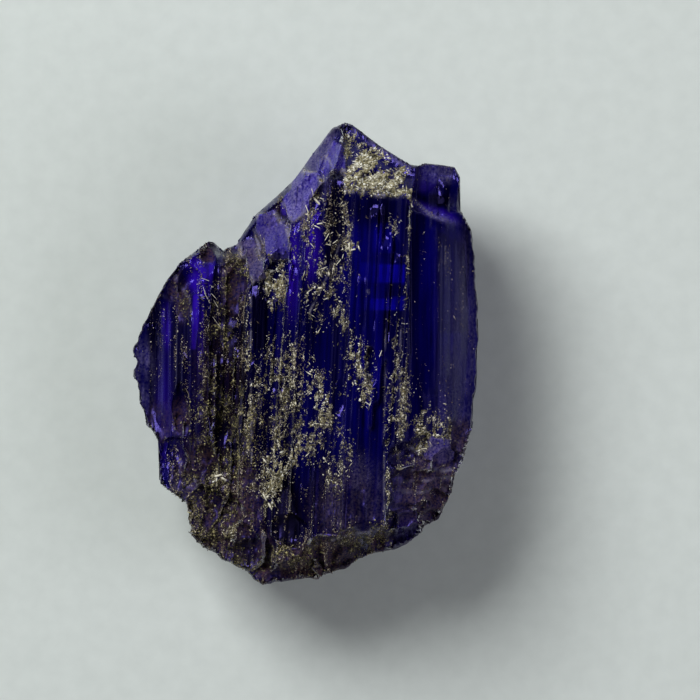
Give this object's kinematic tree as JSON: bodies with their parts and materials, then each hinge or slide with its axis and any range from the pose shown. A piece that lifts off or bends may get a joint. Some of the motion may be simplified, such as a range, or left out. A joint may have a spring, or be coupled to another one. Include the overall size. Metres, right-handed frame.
{
  "type": "tanzanite crystal",
  "caption": "Rough deep violet-blue tanzanite crystal: a thick bladed piece with striated faces, a sloping pointed top and a broken foot, lying on its flat back.",
  "frame": {"origin": "middle of the outline's box, on the flat back that the crystal lies on", "axes": "+Y along the crystal's length (its c axis) towards the pointed top, +Z out of the face that it shows, +X to the right of that face"},
  "size_m": [0.0158, 0.021, 0.0088],
  "materials": {
    "tanzanite": "natural crystal faces, finely striated along the length, glossy with frosted patches, deep violet blue, see-through where thin",
    "residue": "matt to glittering pale cream-gold mineral grains stuck to the crystal faces"
  },
  "bodies": {
    "root": {"crystal": "tanzanite"}
  },
  "joints": []
}
